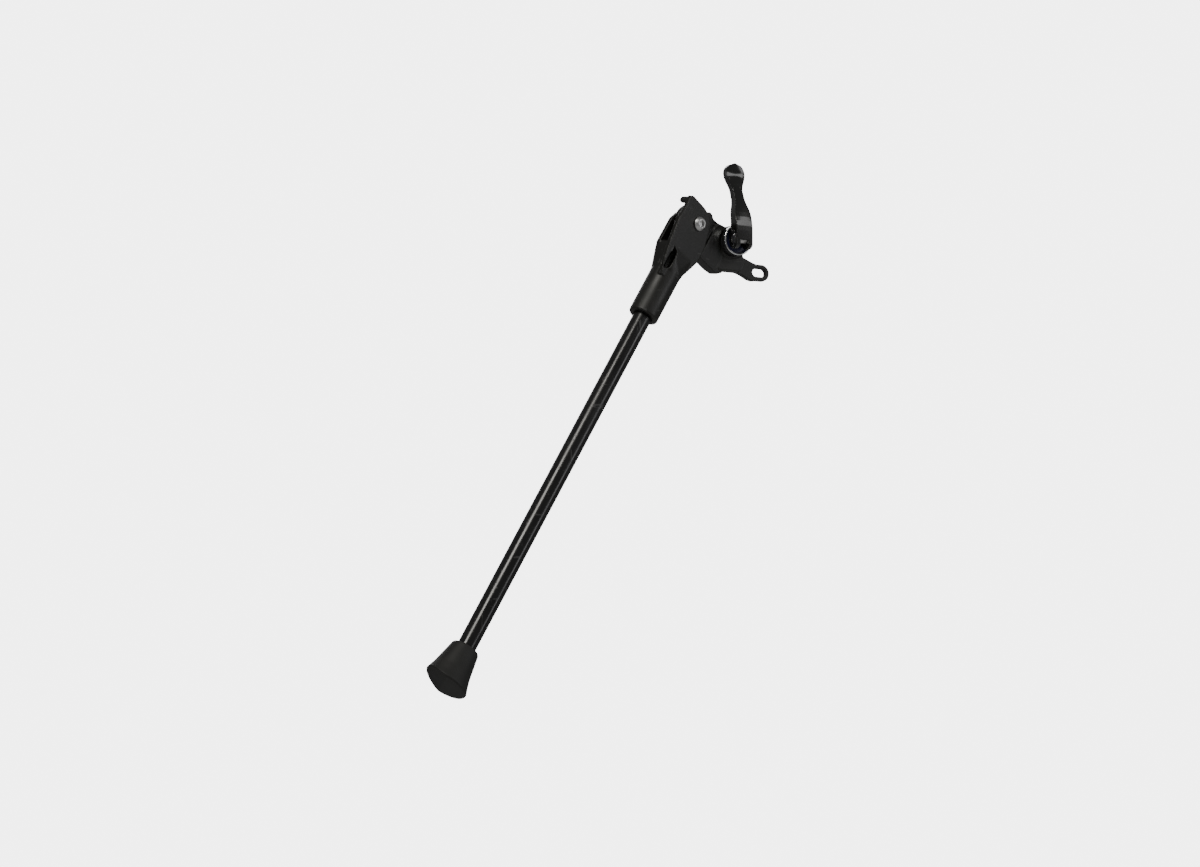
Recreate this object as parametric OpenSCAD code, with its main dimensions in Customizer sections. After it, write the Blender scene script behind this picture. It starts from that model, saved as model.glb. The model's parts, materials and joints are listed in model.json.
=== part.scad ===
// Side stand for a bicycle: a swinging leg on a cast bracket that a cam lever clamps to the frame.
// Millimetres. +Y runs inboard along the clamp's axis, +Z is up, +X runs towards the slotted ear.
// The origin is on the clamp's axis, on the bracket's flat inner face.

/* [Leg] */
// Lean of the leg away from upright while it hangs on its rest stop
leg_lean = 29.5; // [20:0.5:36]
// Turn of the hinge about the leg, which makes the leg swing outward
hinge_toe = 18; // [10:0.5:22]
// Pivot to the ground end of the foot
leg_length = 348.6; // [260:0.1:420]
// Diameter of the rod
rod_d = 12; // [9:0.1:14]
// Outside diameter of the socket
socket_d = 19.2; // [18:0.1:24]
// Pivot to the mouth of the socket
socket_drop = 71; // [66:1:90]
// Sideways distance from the pivot to the middle of the rod
leg_offset = 0.8; // [0:0.1:2.5]
// Swing from the rest stop to the other stop
swing = 76; // [60:1:88]

/* [Hinge] */
// Clear width between the two cheeks
channel_w = 8.8; // [7.6:0.1:10]
// Thickness of each cheek
cheek_t = 3.1; // [2.5:0.1:3.6]
// Diameter of the pivot bolt's shank
pivot_d = 6; // [5:0.1:7]
// Diameter of the pivot bolt's round head
pivot_head_d = 9.1; // [8.5:0.1:11]
// Distance of the pivot from the clamp's axis along X
pivot_x = -32.3; // [-36:0.1:-31]
// Height of the pivot over the clamp's axis
pivot_z = 7.8; // [5:0.1:10]
// Distance of the pivot outboard of the inner face
pivot_out = 12; // [11.5:0.1:15]
// Thickness of each thrust washer beside the knuckle
thrust_t = 0.8; // [0.5:0.05:1]
// Radius of the knuckle's drum
drum_r = 12; // [11:0.1:12.6]

/* [Bracket] */
// Thickness of the plate at the clamp
plate_t = 7; // [5.5:0.1:7.6]
// Height of the round boss off the inner face
boss_h = 8; // [7.7:0.1:9]
// Diameter of the boss
boss_d = 20.6; // [19:0.1:23]
// Thickness of the slotted ear
ear_t = 3.2; // [3:0.1:6]
// Distance of the slot from the clamp's axis along X
ear_x = 21.2; // [19:0.1:26]
// Distance of the slot below the clamp's axis
ear_drop = 17; // [14:0.1:19]
// Width of the slot, for an M5 bolt
slot_w = 5.2; // [5.1:0.05:6.2]
// Length of the slot from end to end
slot_len = 9.2; // [6.5:0.1:12]
// Wall around the slot
ear_wall = 2.7; // [2:0.05:4]

/* [Clamp] */
// Diameter of the clamp's stud
stud_d = 5; // [4:0.1:6]
// Diameter of the bright cup under the lever
cup_d = 19.3; // [17:0.1:20.5]
// Height of the cup
cup_h = 4; // [3.6:0.1:5]
// Thickness of the spacer washer between the cup and the bracket
spacer_t = 2.6; // [1.5:0.1:3]
// Cam's axis to the tip of the lever
lever_len = 50; // [40:0.5:60]
// Width of the lever at its cam
lever_w = 11.4; // [10.4:0.1:12]
// Width of the lever's thumb paddle
paddle_w = 13.8; // [10:0.1:16]
// Radius of the cam
cam_r = 6.6; // [6:0.1:7.2]
// Distance of the cam's middle from its axis
cam_throw = 0.5; // [0.3:0.1:0.9]
// Clear gap between the bracket and the nut's washer
grip = 9; // [5:0.5:14]
// Diameter of the adjusting nut
nut_d = 17; // [14:0.1:20]

/* [Hidden] */
smooth = 64;
play = 0.05; // running fit on the radius
press = 0; // press fits share one size
snug = 0.02; // slip fit of the boot on the rod
bend_fn = 32;
big = 200;

rod_r = rod_d / 2;
socket_r = socket_d / 2;
pivot_r = pivot_d / 2;
head_half = channel_w / 2 + cheek_t;
knuckle_half = channel_w / 2 - thrust_t - 0.05;
bush_wall = 1.2;
web_z = 15.3;
arm_low = 15;
arm_high = 12.5;
shoulder_r = 15.4;

washer_t = 0.8;
washer_r = 5.6;
pivot_nut_h = 3.2;
pivot_nut_af = 9.6;
pivot_head_h = 2.8;

detent_r = 2.1;
plunger_r = 3.6;
plunger_len = 11;
chamber_r = plunger_r + 0.08;
spring_wire = 1.3;
seat_h = 2;
rod_top = 46;
spring_pitch = 2.6;
plunger_tip = drum_r + 0.05; // held just clear of the drum, 0.9 mm short of a dent's floor
spring_turns = (rod_top - seat_h - plunger_tip - plunger_len) / spring_pitch;

foot_neck_r = rod_r + 3.3;
foot_pad_r = rod_r + 9.5;
foot_h = 27.6;
foot_lean = 3.3;
foot_lean_dir = 142;
facet_start = 2;
facet_slope = 20;
foot_floor = 7;
rod_end = leg_length - foot_floor;

spacer_y = boss_h + 0.05;
cup_y = spacer_y + spacer_t + 0.05;
cup_rim = cup_y + cup_h;
dish_depth = 3.3;
pad_t = 0.8;
cam_face = cup_rim - dish_depth + pad_t + 0.1;
cam_y = cam_face + cam_r + cam_throw;
barrel_r = 3.1;
stud_hole_r = stud_d / 2 + 0.08;
slot_gap = stud_d + 0.9;
lever_front = cam_y + 4.1;
slot_top = 1.6; // the slot's top edge on the lever's outer face, below the axle
cam_mid = cam_y - cam_throw;
lever_steps = 18;

nut_h = 12;
nut_skirt = 1.4;
insert_h = 3;

// Places children in the hinge's frame: its origin on the pivot, -Z along the leg, +Y along the pivot
module at_hinge()
    translate([pivot_x, -pivot_out, pivot_z])
        rotate([0, leg_lean, 0])
            rotate([0, 0, hinge_toe])
                children();

// Extrudes an outline drawn in X and Z from y_from down to y_to
module slab(y_from, y_to)
    translate([0, y_from, 0])
        rotate([90, 0, 0])
            linear_extrude(height = y_from - y_to)
                children();

// A cylinder along Y from y_a up to y_b
module y_cyl(r, y_a, y_b, fn = smooth)
    translate([0, y_b, 0])
        rotate([90, 0, 0])
            cylinder(r = r, h = y_b - y_a, $fn = fn);

module y_ring(r, hole, y_a, y_b)
    difference() {
        y_cyl(r, y_a, y_b);
        y_cyl(hole, y_a - 1, y_b + 1);
    }

module slot_2d(w, len) {
    square([len - w, w], center = true);
    for (s = [-1, 1])
        translate([s * (len - w) / 2, 0])
            circle(d = w, $fn = smooth);
}

// ---- Bracket ----

ear_r = slot_w / 2 + ear_wall;
ear_half = (slot_len - slot_w) / 2;
boss_r = boss_d / 2;
skirt_z = -18.4;

module plate_2d() {
    circle(r = boss_r, $fn = smooth);
    polygon([[-20, 10], [-13, 12.4], [-boss_r * 0.45, boss_r * 0.893], [boss_r * 0.72, -boss_r * 0.69],
        [boss_r * 0.9, skirt_z + 5], [boss_r * 0.62, skirt_z + 0.9], [boss_r * 0.45, skirt_z],
        [-9, skirt_z], [-17, -12]]);
}

module ear_2d() {
    translate([ear_x, -ear_drop])
        slot_2d(2 * ear_r, slot_len - slot_w + 2 * ear_r);
    polygon([[0, -6], [boss_r * 0.72, -boss_r * 0.69], [ear_x - ear_half - 3, -ear_drop + ear_r + 1],
        [ear_x - ear_half, -ear_drop + ear_r], [ear_x - ear_half, -ear_drop - ear_r],
        [ear_x - ear_half - 3.4, -ear_drop - ear_r - 0.5], [ear_x - ear_half - 6.4, -ear_drop - ear_r + 0.4],
        [boss_r * 0.8, skirt_z - 1.2], [boss_r * 0.45, skirt_z], [0, skirt_z]]);
}

// The shoulder meets the leg's stop bar at the end of the swing
shoulder_turn = 141 - swing;
module knuckle_2d() {
    circle(r = drum_r, $fn = smooth);
    polygon([[0, 0], [5.2, 0.6 - drum_r], [5.6, -arm_low], [33, -arm_low], [36.5, -11.5],
        [28.5, 0.5], [20.5, arm_high], [11.5, arm_high - 0.5], [9, arm_high + 1.2],
        [shoulder_r * cos(shoulder_turn), shoulder_r * sin(shoulder_turn)]]);
}

module arm_rib_2d()
    polygon([[14.8, 8], [14.8, -arm_low], [33, -arm_low], [36.5, -11.5], [28.5, 0.5], [20.5, arm_high],
        [15.8, arm_high - 1.5]]);

// Two shallow dents in the drum that hold the plunger at each end of the swing
module detents()
    for (a = [0, swing])
        rotate([0, a, 0])
            translate([leg_offset, 0, 0])
                translate([0, knuckle_half + 1, -drum_r - 0.75])
                    rotate([90, 0, 0])
                        cylinder(r = detent_r, h = 2 * knuckle_half + 2, $fn = smooth);

module mount_bracket()
    color([0.06, 0.06, 0.06])
        difference() {
            union() {
                y_cyl(boss_r, -boss_h, 0);
                slab(0, -plate_t) plate_2d();
                slab(0, -ear_t) ear_2d();
                at_hinge() {
                    slab(knuckle_half, -knuckle_half) knuckle_2d();
                    slab(knuckle_half, -knuckle_half - 1.2) arm_rib_2d();
                }
            }
            // flat inner face
            translate([-big / 2, 0, -big / 2])
                cube([big, big, big]);
            // room for the spacer washer and the cup
            y_cyl(cup_d / 2 + 0.6, -big, -boss_h);
            y_cyl(stud_hole_r, -big, 1);
            translate([ear_x, 1, -ear_drop])
                rotate([90, 0, 0])
                    linear_extrude(height = ear_t + 2)
                        slot_2d(slot_w, slot_len);
            at_hinge() {
                y_cyl(pivot_r + bush_wall + press, -big, big);
                detents();
            }
        }

module pivot_bush()
    color([0.72, 0.55, 0.3])
        at_hinge()
            y_ring(pivot_r + bush_wall, pivot_r + play, -knuckle_half, knuckle_half);

// ---- Clamp ----

stud_tip = grip + nut_h + 3;

module clamp_stud()
    color([0.7, 0.7, 0.72])
        union() {
            y_cyl(stud_d / 2, -cam_y + barrel_r - 0.6, stud_tip - 1);
            translate([0, stud_tip, 0])
                rotate([90, 0, 0])
                    cylinder(r1 = stud_d / 2 - 0.8, r2 = stud_d / 2, h = 1, $fn = smooth);
        }

module cross_barrel()
    color([0.7, 0.7, 0.72])
        difference() {
            translate([-lever_w / 2 + 0.3, -cam_y, 0])
                rotate([0, 90, 0])
                    cylinder(r = barrel_r, h = lever_w - 0.6, $fn = smooth);
            y_cyl(stud_d / 2, -cam_y + barrel_r - 0.6, 0);
        }

module spacer_washer()
    color([0.1, 0.1, 0.1])
        y_ring(cup_d / 2 - 0.5, stud_hole_r, -spacer_y - spacer_t, -spacer_y);

module cam_cup()
    color([0.8, 0.8, 0.82])
        difference() {
            union() {
                y_cyl(cup_d / 2, -cup_rim + 0.5, -cup_y);
                translate([0, -cup_rim + 0.5, 0])
                    rotate([90, 0, 0])
                        cylinder(r1 = cup_d / 2, r2 = cup_d / 2 - 0.4, h = 0.5, $fn = smooth);
            }
            y_cyl(cup_d / 2 - 1.2, -cup_rim - 1, -cup_rim + dish_depth);
            y_cyl(stud_hole_r, -big, 0);
        }

module cam_pad()
    color([0.08, 0.1, 0.2])
        y_ring(cup_d / 2 - 1.5, stud_hole_r, -cam_face + 0.1, -cup_rim + dish_depth);

function ease(t) = 0.5 - 0.5 * cos(180 * max(0, min(1, t)));
function mix(a, b, t) = a + (b - a) * ease(t);
neck_w = 6.8;
paddle_mid = lever_len - paddle_w / 2;
function half_width(z) =
    z < 14 ? lever_w / 2
    : z < 27 ? mix(lever_w, neck_w, (z - 14) / 13) / 2
    : z < 31 ? neck_w / 2
    : z < paddle_mid ? mix(neck_w, paddle_w, (z - 31) / (paddle_mid - 31)) / 2
    : paddle_w / 2 * sqrt(max(0, 1 - pow((z - paddle_mid) / (lever_len - paddle_mid), 2)));
// Outer and inner faces of the blade, measured outboard
function blade_out(z) = mix(lever_front, 10.8, (z - 4) / (lever_len - 6));
function blade_in(z) = mix(cam_y - 4.5, 7.2, (z - 9) / (lever_len - 15));

module lever_front_2d() {
    heights = [for (i = [0 : lever_steps * 2]) -12 + (lever_len + 12) * i / (lever_steps * 2)];
    polygon(concat([for (z = heights) [half_width(z), z]],
        [for (i = [lever_steps * 2 : -1 : 0]) [-half_width(heights[i]), heights[i]]]));
}

module blade_side_2d() {
    heights = [for (i = [0 : lever_steps]) -4.5 + (lever_len + 4.5) * i / lever_steps];
    polygon(concat([for (z = heights) [-blade_out(z), z]],
        [for (i = [lever_steps : -1 : 0]) [-blade_in(heights[i]), heights[i]]]));
}

module along_x(w)
    translate([-w / 2, 0, 0])
        rotate([90, 0, 90])
            linear_extrude(height = w)
                children();

module clamp_lever()
    color([0.04, 0.04, 0.04])
        difference() {
            union() {
                intersection() {
                    rotate([90, 0, 0])
                        linear_extrude(height = 60)
                            lever_front_2d();
                    along_x(40) blade_side_2d();
                }
                // the cam, flattened on its outer side
                difference() {
                    translate([-lever_w / 2, -cam_mid, 0])
                        rotate([0, 90, 0])
                            cylinder(r = cam_r, h = lever_w, $fn = smooth);
                    translate([-20, -lever_front + 0.5 - 20, -20])
                        cube([40, 20, 40]);
                }
            }
            translate([-20, -cam_y, 0])
                rotate([0, 90, 0])
                    cylinder(r = barrel_r + play, h = 40, $fn = smooth);
            // the slot that the stud swings in
            translate([-slot_gap / 2, -cam_y - 1, -20])
                cube([slot_gap, 30, 20 + slot_gap / 2]);
            translate([-slot_gap / 2, -cam_y - 30, -20])
                cube([slot_gap, 31, 20 - slot_top]);
        }

module nut_washer()
    color([0.7, 0.7, 0.72])
        difference() {
            y_cyl(nut_d / 2 - 1, grip, grip + 1.4);
            y_cyl(stud_hole_r, 0, big);
            for (i = [0 : 23])
                rotate([0, i * 15, 0])
                    translate([nut_d / 2 - 3.4, grip - 0.01, -0.35])
                        cube([3, 0.5, 0.7]);
        }

module clamp_nut()
    color([0.08, 0.08, 0.08])
        difference() {
            union() {
                y_cyl(nut_d / 2, grip + nut_skirt + 0.05, grip + nut_skirt + 4);
                y_cyl(nut_d / 2 - 2.4, grip + nut_skirt + 0.1, grip + nut_skirt + nut_h - 1.4);
                for (i = [0 : 2])
                    rotate([0, i * 120, 0])
                        translate([-1.7, grip + nut_skirt + 0.1, 0])
                            cube([3.4, nut_h - 2.4, nut_d / 2 - 0.4]);
            }
            y_cyl(stud_d / 2 + 0.05, 0, big);
            y_cyl(stud_d / 2 + 1.7, grip + nut_skirt + nut_h - 1.4 - insert_h, big);
        }

module nut_insert()
    color([0.75, 0.75, 0.7])
        y_ring(stud_d / 2 + 1.65, stud_d / 2 + 0.02,
            grip + nut_skirt + nut_h - 1.35 - insert_h, grip + nut_skirt + nut_h - 1.6);

// ---- Leg ----

corner_x = 13.4;
bar_end = 1.4;
module front_cheek_2d()
    polygon([[-16, 6.8], [-16, 10.4], [-13.8, 11.5], [-2.2, 11], [4.4, 9.6], [8, 6], [10.5, 0],
        [corner_x, -10], [corner_x, -20], [10.8, -27.5], [8.6, -33], [leg_offset + 5, -44],
        [-8, -44], [-11.4, -34], [-13.9, -22], [-16.2, -6], [-15.4, 1.6]]);

module rear_cheek_2d()
    polygon([[-9.6, 1.6], [-5.6, 6.4], [0, 7.8], [4.6, 6.2], [7.4, 2.4], [8.6, -6], [9.6, -20],
        [8, -30], [leg_offset + 5, -40], [-5.4, -40], [-6, -31], [-12, -22.4], [-11.8, -4]]);

module leg_head()
    color([0.07, 0.07, 0.07])
        at_hinge()
            difference() {
                union() {
                    slab(-channel_w / 2, -head_half) front_cheek_2d();
                    slab(head_half, channel_w / 2) rear_cheek_2d();
                    // web that closes the channel and runs into the socket
                    hull() {
                        translate([-11.5, -head_half + 0.4, -24])
                            cube([11.5 + 9.4, 2 * head_half - 0.8, 3]);
                        translate([leg_offset, 0, -39])
                            cylinder(r = socket_r, h = 4, $fn = bend_fn);
                    }
                    slab(channel_w / 2 + 0.5, -channel_w / 2 - 0.5)
                        polygon([[-11.5, -23], [-9.8, -19.6], [-4, -16.6], [2, -web_z], [11.4, -web_z],
                            [12, -20], [9.4, -24]]);
                    translate([leg_offset, 0, -socket_drop + 0.8])
                        cylinder(r = socket_r, h = socket_drop - 0.8 - 36, $fn = smooth);
                    translate([leg_offset, 0, -socket_drop])
                        cylinder(r1 = socket_r - 0.8, r2 = socket_r, h = 0.8, $fn = smooth);
                    // stop bar across the top of the channel
                    slab(bar_end, -head_half)
                        polygon([[-16, 6.8], [-15.8, 9.6], [-13.8, 11.2], [-12.4, 10.1], [-10.9, 8.9],
                            [-12.2, 7], [-14, 6.2]]);
                }
                y_cyl(pivot_r + play, -big, big);
                translate([leg_offset, 0, -rod_top - 1])
                    cylinder(r = chamber_r, h = rod_top, $fn = smooth);
                translate([leg_offset, 0, -socket_drop - 1])
                    cylinder(r = rod_r + play, h = socket_drop + 1 - rod_top, $fn = smooth);
                // window over the spring chamber
                translate([leg_offset, 0, -31.5])
                    rotate([0, 0, 218])
                        translate([socket_r + 2.6, 0, 0])
                            window_pocket();
                // grub screw's threaded hole, on the side away from the channel's opening
                translate([leg_offset, 0, -60])
                    rotate([0, 0, 40])
                        rotate([0, 90, 0])
                            cylinder(r = 2.5, h = 20, $fn = smooth);
            }

module window_pocket()
    hull()
        for (z = [-4, 4])
            translate([0, 0, z])
                rotate([0, -90, 0])
                    cylinder(r1 = 4, r2 = 1.4, h = 6.6, $fn = bend_fn);

module leg_rod()
    color([0.05, 0.05, 0.05])
        at_hinge()
            translate([leg_offset, 0, -rod_end])
                union() {
                    translate([0, 0, 1])
                        cylinder(r = rod_r, h = rod_end - rod_top - 2, $fn = smooth);
                    cylinder(r1 = rod_r - 1, r2 = rod_r, h = 1, $fn = smooth);
                    translate([0, 0, rod_end - rod_top - 1])
                        cylinder(r1 = rod_r, r2 = rod_r - 0.9, h = 0.9, $fn = smooth);
                }

// The boot leans a little off the rod's line, and one side of its sole is cut to a slanted facet
module rubber_foot()
    color([0.05, 0.05, 0.05])
        at_hinge()
            translate([leg_offset, 0, -leg_length])
                difference() {
                    translate([0, 0, foot_h])
                        rotate([0, 0, foot_lean_dir])
                            rotate([0, -foot_lean, 0])
                                translate([0, 0, -foot_h])
                                    rotate_extrude($fn = smooth)
                                        foot_2d();
                    rotate([0, 0, foot_lean_dir])
                        translate([facet_start, 0, 0])
                            rotate([0, -facet_slope, 0])
                                translate([0, -40, -40])
                                    cube([80, 80, 40]);
                    translate([0, 0, foot_floor])
                        cylinder(r = rod_r + snug, h = foot_h, $fn = smooth);
                }

// Half of the boot's outline
module foot_2d()
    polygon([[0, 0], [foot_pad_r - 0.9, 0], [foot_pad_r - 0.2, 0.3], [foot_pad_r, 1],
        [foot_pad_r - 0.2, 1.8], [foot_pad_r - 1.5, 5.4], [foot_pad_r - 3.1, 11],
        [foot_neck_r + 1.8, foot_h - 10], [foot_neck_r + 0.6, foot_h - 4], [foot_neck_r, foot_h - 1],
        [foot_neck_r - 0.4, foot_h - 0.2], [foot_neck_r - 1.1, foot_h], [0, foot_h]]);

module pivot_bolt()
    color([0.75, 0.75, 0.76])
        at_hinge()
            difference() {
                union() {
                    y_cyl(pivot_r, -head_half - 1, head_half + washer_t + pivot_nut_h + 0.6);
                    y_cyl(pivot_head_d / 2, -head_half - 1.1, -head_half - 0.05);
                    translate([0, -head_half - 1.1, 0])
                        rotate([90, 0, 0])
                            cylinder(r1 = pivot_head_d / 2, r2 = pivot_head_d / 2 - 1.5,
                                h = pivot_head_h - 1.1, $fn = smooth);
                }
                translate([0, -head_half - 1, 0])
                    rotate([90, 0, 0])
                        cylinder(r = 2.3, h = 5, $fn = 6);
            }

module pivot_washer()
    color([0.55, 0.55, 0.56])
        at_hinge()
            y_ring(washer_r, pivot_r + play, head_half + 0.02, head_half + washer_t);

module thrust_washers()
    color([0.8, 0.78, 0.7])
        at_hinge()
            for (s = [-1, 1])
                translate([0, s * (knuckle_half + thrust_t / 2 + 0.025), 0])
                    y_ring(pivot_r + bush_wall + 2.6, pivot_r + play, -thrust_t / 2, thrust_t / 2);

module pivot_nut()
    color([0.6, 0.6, 0.6])
        at_hinge()
            difference() {
                y_cyl(pivot_nut_af / 2 / cos(30), head_half + washer_t + 0.02,
                    head_half + washer_t + pivot_nut_h, 6);
                y_cyl(pivot_r + 0.02, 0, big);
                y_cyl(pivot_r + 0.85, head_half + washer_t + pivot_nut_h - 1, big);
            }

module pivot_nut_insert()
    color([0.2, 0.3, 0.6])
        at_hinge()
            y_ring(pivot_r + 0.82, pivot_r + 0.02, head_half + washer_t + pivot_nut_h - 0.98,
                head_half + washer_t + pivot_nut_h - 0.1);

module detent_plunger()
    color([0.7, 0.7, 0.7])
        at_hinge()
            translate([leg_offset, 0, -plunger_tip - plunger_len])
                union() {
                    cylinder(r = plunger_r, h = plunger_len - 2.4, $fn = smooth);
                    translate([0, 0, plunger_len - 2.4])
                        cylinder(r1 = plunger_r, r2 = 1.1, h = 2.1, $fn = smooth);
                }

module detent_spring()
    color([0.6, 0.6, 0.62])
        at_hinge()
            translate([leg_offset, 0, -rod_top + seat_h + 0.03])
                linear_extrude(height = rod_top - seat_h - plunger_tip - plunger_len - 0.06,
                    twist = -360 * spring_turns, slices = 60)
                    intersection() {
                        difference() {
                            circle(r = plunger_r, $fn = 16);
                            circle(r = plunger_r - spring_wire, $fn = 16);
                        }
                        translate([0, 5])
                            square([10, 10], center = true);
                    }

module spring_seat()
    color([0.6, 0.6, 0.6])
        at_hinge()
            translate([leg_offset, 0, -rod_top + 0.02])
                cylinder(r = plunger_r, h = seat_h - 0.02, $fn = smooth);

module rod_grub_screw()
    color([0.3, 0.3, 0.3])
        at_hinge()
            translate([leg_offset, 0, -60])
                rotate([0, 0, 40])
                    rotate([0, 90, 0])
                        difference() {
                            translate([0, 0, rod_r + 0.02])
                                cylinder(r = 2.48, h = socket_r - rod_r - 0.3, $fn = smooth);
                            translate([0, 0, socket_r - 2])
                                cylinder(r = 1.4, h = 6, $fn = 6);
                        }

mount_bracket();
pivot_bush();
clamp_stud();
spacer_washer();
cam_cup();
cam_pad();
cross_barrel();
clamp_lever();
nut_washer();
clamp_nut();
nut_insert();
leg_head();
leg_rod();
rubber_foot();
pivot_bolt();
pivot_washer();
thrust_washers();
pivot_nut();
pivot_nut_insert();
detent_plunger();
detent_spring();
spring_seat();
rod_grub_screw();
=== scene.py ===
import json
import math

import bmesh
import bpy
from mathutils import Matrix, Vector


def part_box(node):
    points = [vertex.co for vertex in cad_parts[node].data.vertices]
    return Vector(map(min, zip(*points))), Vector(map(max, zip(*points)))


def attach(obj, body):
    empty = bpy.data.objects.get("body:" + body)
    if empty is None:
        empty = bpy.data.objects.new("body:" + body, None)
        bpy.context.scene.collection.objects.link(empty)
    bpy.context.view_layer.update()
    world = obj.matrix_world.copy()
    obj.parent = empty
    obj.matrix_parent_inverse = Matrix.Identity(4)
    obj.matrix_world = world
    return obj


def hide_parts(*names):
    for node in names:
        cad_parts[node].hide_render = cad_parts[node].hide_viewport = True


bl_info = {
    "name": "Bicycle Side Stand",
    "version": (1, 0, 0),
    "blender": (4, 5, 0),
    "location": "View3D > Sidebar > Side Stand",
    "description": "Builds the finished surfaces of a side stand with a cam-lever clamp",
    "category": "Object",
}

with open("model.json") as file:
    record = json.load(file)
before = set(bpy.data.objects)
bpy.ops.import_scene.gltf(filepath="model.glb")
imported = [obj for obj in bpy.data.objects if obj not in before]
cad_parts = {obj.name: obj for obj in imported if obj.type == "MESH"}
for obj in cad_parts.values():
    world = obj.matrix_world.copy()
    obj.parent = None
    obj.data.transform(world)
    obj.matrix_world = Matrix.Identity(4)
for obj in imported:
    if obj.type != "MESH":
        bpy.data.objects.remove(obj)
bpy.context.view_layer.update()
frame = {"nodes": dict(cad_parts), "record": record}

MM = 0.001
RECORD = frame["record"]
JOINTS = {joint["name"]: joint for joint in RECORD["behaviour"]["joints"]}
BODY_OF = {node: body for body, nodes in RECORD["behaviour"]["bodies"].items() for node in nodes}
SLOT_OF = {part["node"]: part["material_slot"] for part in RECORD["subparts"]}

# The hinge's frame: its origin on the pivot, -Z along the leg, +Y along the pivot
PIVOT = Vector(JOINTS["leg_swing"]["pos_m"])
PIVOT_Y = Vector(JOINTS["leg_swing"]["axis"]).normalized()
LEG_DOWN = Vector(JOINTS["plunger_slide"]["axis"]).normalized()
HINGE = Matrix.Translation(PIVOT) @ Matrix(
    (PIVOT_Y.cross(-LEG_DOWN), PIVOT_Y, -LEG_DOWN)).transposed().to_4x4()

# Roundness of the softened pieces: the voxel each is remeshed at, and how often it is relaxed
CASTING_ROUNDS = 3
LEVER_VOXEL, LEVER_ROUNDS = 0.00022, 4
NUT_VOXEL = 0.00026
FOOT_VOXEL = 0.00034
TURNED_SIDES = 128

# The lever's outer face, in metres: how far it is crowned, and the dish in its thumb paddle
CROWN, CROWN_START, CROWN_RUN = 0.0008, 0.008, 0.008
DISH, DISH_BELOW_TIP = 0.0008, 0.0075
DISH_HALF_HEIGHT, DISH_HALF_WIDTH = 0.0034, 0.0048

# The rod's ends, in millimetres: below the pivot, and above the ground end of the foot
ROD_TOP, ROD_ABOVE_GROUND = -47.1, 7.05
ROD_CHAMFER, ROD_CHAMFER_RUN = 1, 1.2

# The coil stands on its seat, whose top is this far below the pivot, in millimetres
SEAT_TOP = -44
COIL_START = SEAT_TOP + 0.69
COIL_TURNS, COIL_LENGTH = 8.06, 0.0196
COIL_RADIUS, WIRE_RADIUS = 0.00295, 0.00062

# The ribs round the adjusting nut's rim, in metres
RIB_COUNT, RIB_SIZE = 36, (0.0007, 0.0006, 0.0029)
RIB_INSET, RIB_MIDDLE = 0.00045, 0.0019

# The stage, in metres
FLOOR_RADIUS, FLOOR_Z = 12, -1.4
AIM_RIGHT, AIM_UP = -0.07976, -0.119
SENSOR = 36
WORLD_LIGHT, WORLD_SEEN, FLOOR_SEEN = 0.16, 5.0, 3.4


# ---------------------------------------------------------------- sizes a user may change

class StandSizes(bpy.types.PropertyGroup):
    rod_d: bpy.props.FloatProperty(
        name="Rod diameter", description="Diameter of the straight rod", default=0.012,
        min=0.008, max=0.016, unit="LENGTH")
    leg_offset: bpy.props.FloatProperty(
        name="Rod offset", description="Sideways distance from the pivot to the rod's middle",
        default=0.0008, unit="LENGTH")
    casting_round: bpy.props.FloatProperty(
        name="Casting rounding", description="Voxel size that softens the castings' edges",
        default=0.00038, min=0.0002, max=0.001, unit="LENGTH")
    edge_round: bpy.props.FloatProperty(
        name="Machined edge", description="Bevel width on turned and pressed pieces",
        default=0.00018, min=0.00005, max=0.001, unit="LENGTH")
    leg_length: bpy.props.FloatProperty(
        name="Leg length", description="Pivot to the ground end of the foot", default=0.3486,
        min=0.26, max=0.42, unit="LENGTH")


class StandFinish(bpy.types.PropertyGroup):
    coat_color: bpy.props.FloatVectorProperty(
        name="Coating colour", description="Powder coat on the castings", subtype="COLOR",
        size=4, default=(0.0075, 0.0072, 0.006, 1))
    rod_color: bpy.props.FloatVectorProperty(
        name="Rod colour", description="Paint on the rod", subtype="COLOR",
        size=4, default=(0.008, 0.008, 0.008, 1))
    lever_color: bpy.props.FloatVectorProperty(
        name="Lever colour", description="Gloss coat on the lever", subtype="COLOR",
        size=4, default=(0.006, 0.006, 0.0055, 1))
    rubber_color: bpy.props.FloatVectorProperty(
        name="Rubber colour", description="Rubber of the foot", subtype="COLOR",
        size=4, default=(0.0085, 0.0083, 0.0075, 1))
    pad_color: bpy.props.FloatVectorProperty(
        name="Pad colour", description="Plastic pad inside the cup", subtype="COLOR",
        size=4, default=(0.008, 0.01, 0.055, 1))


class StandStage(bpy.types.PropertyGroup):
    azimuth: bpy.props.FloatProperty(
        name="Azimuth", description="Turn of the camera about the stand, in degrees", default=-28)
    elevation: bpy.props.FloatProperty(
        name="Elevation", description="Height of the camera over the horizon, in degrees", default=-10)
    distance: bpy.props.FloatProperty(
        name="Distance", description="Camera to the clamp", default=5.6, unit="LENGTH")
    metres_per_width: bpy.props.FloatProperty(
        name="Field width", description="Width of the view at the clamp", default=0.7536, unit="LENGTH")


# ---------------------------------------------------------------- shader tools

def new_group(name, inputs, outputs):
    tree = bpy.data.node_groups.new(name, "ShaderNodeTree")
    for label, kind, value in inputs:
        socket = tree.interface.new_socket(label, in_out="INPUT", socket_type=kind)
        socket.default_value = value
    for label, kind in outputs:
        tree.interface.new_socket(label, in_out="OUTPUT", socket_type=kind)
    return tree, tree.nodes.new("NodeGroupInput"), tree.nodes.new("NodeGroupOutput")


def feed(tree, source, socket):
    """Links an output to a socket, or sets the socket to a plain value."""
    if isinstance(source, bpy.types.NodeSocket):
        tree.links.new(source, socket)
    else:
        socket.default_value = source


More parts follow.
